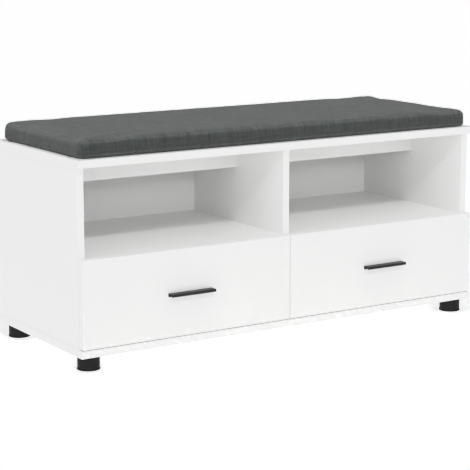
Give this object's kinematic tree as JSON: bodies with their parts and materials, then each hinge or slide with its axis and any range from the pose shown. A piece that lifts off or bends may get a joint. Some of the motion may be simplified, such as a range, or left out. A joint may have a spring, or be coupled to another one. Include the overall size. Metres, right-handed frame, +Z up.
{
  "type": "entryway bench",
  "caption": "White storage bench with open compartments over drawers, round black feet and a padded grey seat cushion.",
  "frame": {"origin": "on the floor, under the centre of the bounding box", "axes": "+Z up, +X to the bench's right end as seen from the front, +Y towards the back; the drawers open towards -Y"},
  "size_m": [1, 0.397, 0.466],
  "materials": {
    "white_board": "chipboard with a fine-textured matt white melamine face and white edge band",
    "back_board": "thin fibreboard with a white painted face",
    "beech": "fluted beech dowel",
    "black_metal": "satin black powder coat",
    "black_plastic": "matt black moulded plastic",
    "zinc": "bright zinc-plated steel",
    "runner_steel": "white powder-coated steel sheet",
    "roller_plastic": "white nylon",
    "grey_fabric": "dark grey linen-look woven polyester",
    "foam": "open-cell polyurethane foam",
    "tape": "black hook-and-loop tape"
  },
  "bodies": {
    "carcass": {"top_panel": "white_board", "bottom_panel": "white_board", "left_side_panel": "white_board", "right_side_panel": "white_board", "centre_divider": "white_board", "left_shelf": "white_board", "right_shelf": "white_board", "left_top_rail": "white_board", "right_top_rail": "white_board", "left_back_board": "back_board", "right_back_board": "back_board", "back_nails": "zinc", "panel_screws": "zinc", "panel_dowels": "beech", "shelf_cam_fittings": "zinc", "feet": "black_plastic", "foot_screws": "zinc", "cushion_cover": "grey_fabric", "cushion_foam": "foam", "cushion_grip_tapes": "tape", "left_outer_track": "runner_steel", "left_inner_track": "runner_steel", "right_inner_track": "runner_steel", "right_outer_track": "runner_steel", "track_screws": "zinc"},
    "left_drawer": {"left_drawer_front": "white_board", "left_drawer_outer_side": "white_board", "left_drawer_inner_side": "white_board", "left_drawer_back": "white_board", "left_drawer_bottom": "back_board", "left_drawer_handle": "black_metal", "left_drawer_handle_screws": "zinc", "left_drawer_cam_fittings": "zinc", "left_drawer_back_screws": "zinc", "left_outer_runner": "runner_steel", "left_inner_runner": "runner_steel", "left_runner_screws": "zinc"},
    "right_drawer": {"right_drawer_front": "white_board", "right_drawer_outer_side": "white_board", "right_drawer_inner_side": "white_board", "right_drawer_back": "white_board", "right_drawer_bottom": "back_board", "right_drawer_handle": "black_metal", "right_drawer_handle_screws": "zinc", "right_drawer_cam_fittings": "zinc", "right_drawer_back_screws": "zinc", "right_outer_runner": "runner_steel", "right_inner_runner": "runner_steel", "right_runner_screws": "zinc"},
    "left_inner_track_roller": {"left_inner_track_roller": "roller_plastic"},
    "left_inner_runner_roller": {"left_inner_runner_roller": "roller_plastic"},
    "left_outer_track_roller": {"left_outer_track_roller": "roller_plastic"},
    "left_outer_runner_roller": {"left_outer_runner_roller": "roller_plastic"},
    "right_inner_track_roller": {"right_inner_track_roller": "roller_plastic"},
    "right_inner_runner_roller": {"right_inner_runner_roller": "roller_plastic"},
    "right_outer_track_roller": {"right_outer_track_roller": "roller_plastic"},
    "right_outer_runner_roller": {"right_outer_runner_roller": "roller_plastic"}
  },
  "joints": [
    {"name": "left_drawer_slide", "type": "slide", "parent": "carcass", "child": "left_drawer", "axis": [0, -1, 0], "range_m": [0, 0.23]},
    {"name": "right_drawer_slide", "type": "slide", "parent": "carcass", "child": "right_drawer", "axis": [0, -1, 0], "range_m": [0, 0.23]},
    {"name": "left_inner_track_roller_spin", "type": "hinge", "parent": "carcass", "child": "left_inner_track_roller", "pos_m": [-0.0135, -0.1515, 0.07], "axis": [1, 0, 0], "range_deg": [0, 1760]},
    {"name": "left_inner_runner_roller_spin", "type": "hinge", "parent": "left_drawer", "child": "left_inner_runner_roller", "pos_m": [-0.014, 0.1235, 0.07], "axis": [1, 0, 0], "range_deg": [0, 1760]},
    {"name": "left_outer_track_roller_spin", "type": "hinge", "parent": "carcass", "child": "left_outer_track_roller", "pos_m": [-0.475, -0.1515, 0.07], "axis": [1, 0, 0], "range_deg": [0, 1760]},
    {"name": "left_outer_runner_roller_spin", "type": "hinge", "parent": "left_drawer", "child": "left_outer_runner_roller", "pos_m": [-0.4745, 0.1235, 0.07], "axis": [1, 0, 0], "range_deg": [0, 1760]},
    {"name": "right_inner_track_roller_spin", "type": "hinge", "parent": "carcass", "child": "right_inner_track_roller", "pos_m": [0.0135, -0.1515, 0.07], "axis": [1, 0, 0], "range_deg": [0, 1760]},
    {"name": "right_inner_runner_roller_spin", "type": "hinge", "parent": "right_drawer", "child": "right_inner_runner_roller", "pos_m": [0.014, 0.1235, 0.07], "axis": [1, 0, 0], "range_deg": [0, 1760]},
    {"name": "right_outer_track_roller_spin", "type": "hinge", "parent": "carcass", "child": "right_outer_track_roller", "pos_m": [0.475, -0.1515, 0.07], "axis": [1, 0, 0], "range_deg": [0, 1760]},
    {"name": "right_outer_runner_roller_spin", "type": "hinge", "parent": "right_drawer", "child": "right_outer_runner_roller", "pos_m": [0.4745, 0.1235, 0.07], "axis": [1, 0, 0], "range_deg": [0, 1760]}
  ],
  "couplings": [
    {"joint": "left_inner_track_roller_spin", "follows": "left_drawer_slide", "rad_per_m": 133.33},
    {"joint": "left_inner_runner_roller_spin", "follows": "left_drawer_slide", "rad_per_m": 133.33},
    {"joint": "left_outer_track_roller_spin", "follows": "left_drawer_slide", "rad_per_m": 133.33},
    {"joint": "left_outer_runner_roller_spin", "follows": "left_drawer_slide", "rad_per_m": 133.33},
    {"joint": "right_inner_track_roller_spin", "follows": "right_drawer_slide", "rad_per_m": 133.33},
    {"joint": "right_inner_runner_roller_spin", "follows": "right_drawer_slide", "rad_per_m": 133.33},
    {"joint": "right_outer_track_roller_spin", "follows": "right_drawer_slide", "rad_per_m": 133.33},
    {"joint": "right_outer_runner_roller_spin", "follows": "right_drawer_slide", "rad_per_m": 133.33}
  ]
}
